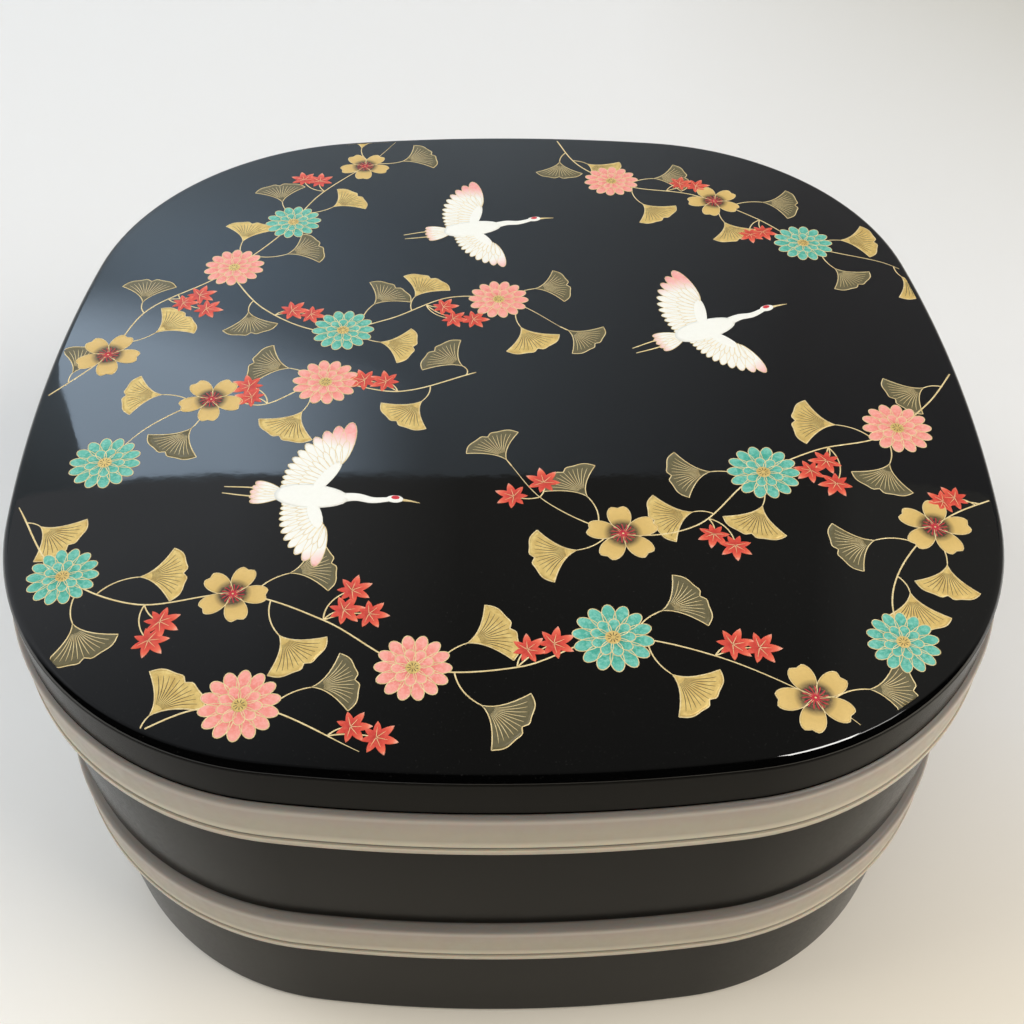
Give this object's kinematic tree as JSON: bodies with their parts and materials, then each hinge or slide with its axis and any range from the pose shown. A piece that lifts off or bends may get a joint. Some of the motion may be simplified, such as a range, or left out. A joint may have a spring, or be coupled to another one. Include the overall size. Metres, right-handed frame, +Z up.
{
  "type": "stacking lacquer box",
  "caption": "Stacking food or keepsake box with bowed sides and rounded corners: tiers with translucent seal lids and a glossy crowned outer lid that carries a raised gold floral design.",
  "frame": {"origin": "centre of the face that the lower tier's foot stands on", "axes": "+Z up through the stack, +X to the right and +Y to the back as the box is pictured; the sides are bowed about the X and Y axes"},
  "size_m": [0.1986, 0.1986, 0.1004],
  "materials": {
    "satin_black": "satin black lacquer on moulded resin",
    "milky_seal": "milky translucent pliable resin",
    "gloss_lacquer": "deep gloss black lacquer with a satin side"
  },
  "bodies": {
    "lower_tier_body": {"lower_tier": "satin_black"},
    "lower_seal_body": {"lower_seal_lid": "milky_seal"},
    "upper_tier_body": {"upper_tier": "satin_black"},
    "upper_seal_body": {"upper_seal_lid": "milky_seal"},
    "outer_lid_body": {"outer_lid": "gloss_lacquer"}
  },
  "joints": [
    {"name": "lower_seal_lift", "type": "slide", "parent": "lower_tier_body", "child": "lower_seal_body", "axis": [0, 0, 1], "range_m": [0, 0.06]},
    {"name": "upper_tier_lift", "type": "slide", "parent": "lower_seal_body", "child": "upper_tier_body", "axis": [0, 0, 1], "range_m": [0, 0.06]},
    {"name": "upper_seal_lift", "type": "slide", "parent": "upper_tier_body", "child": "upper_seal_body", "axis": [0, 0, 1], "range_m": [0, 0.06]},
    {"name": "outer_lid_lift", "type": "slide", "parent": "upper_seal_body", "child": "outer_lid_body", "axis": [0, 0, 1], "range_m": [0, 0.06]}
  ]
}
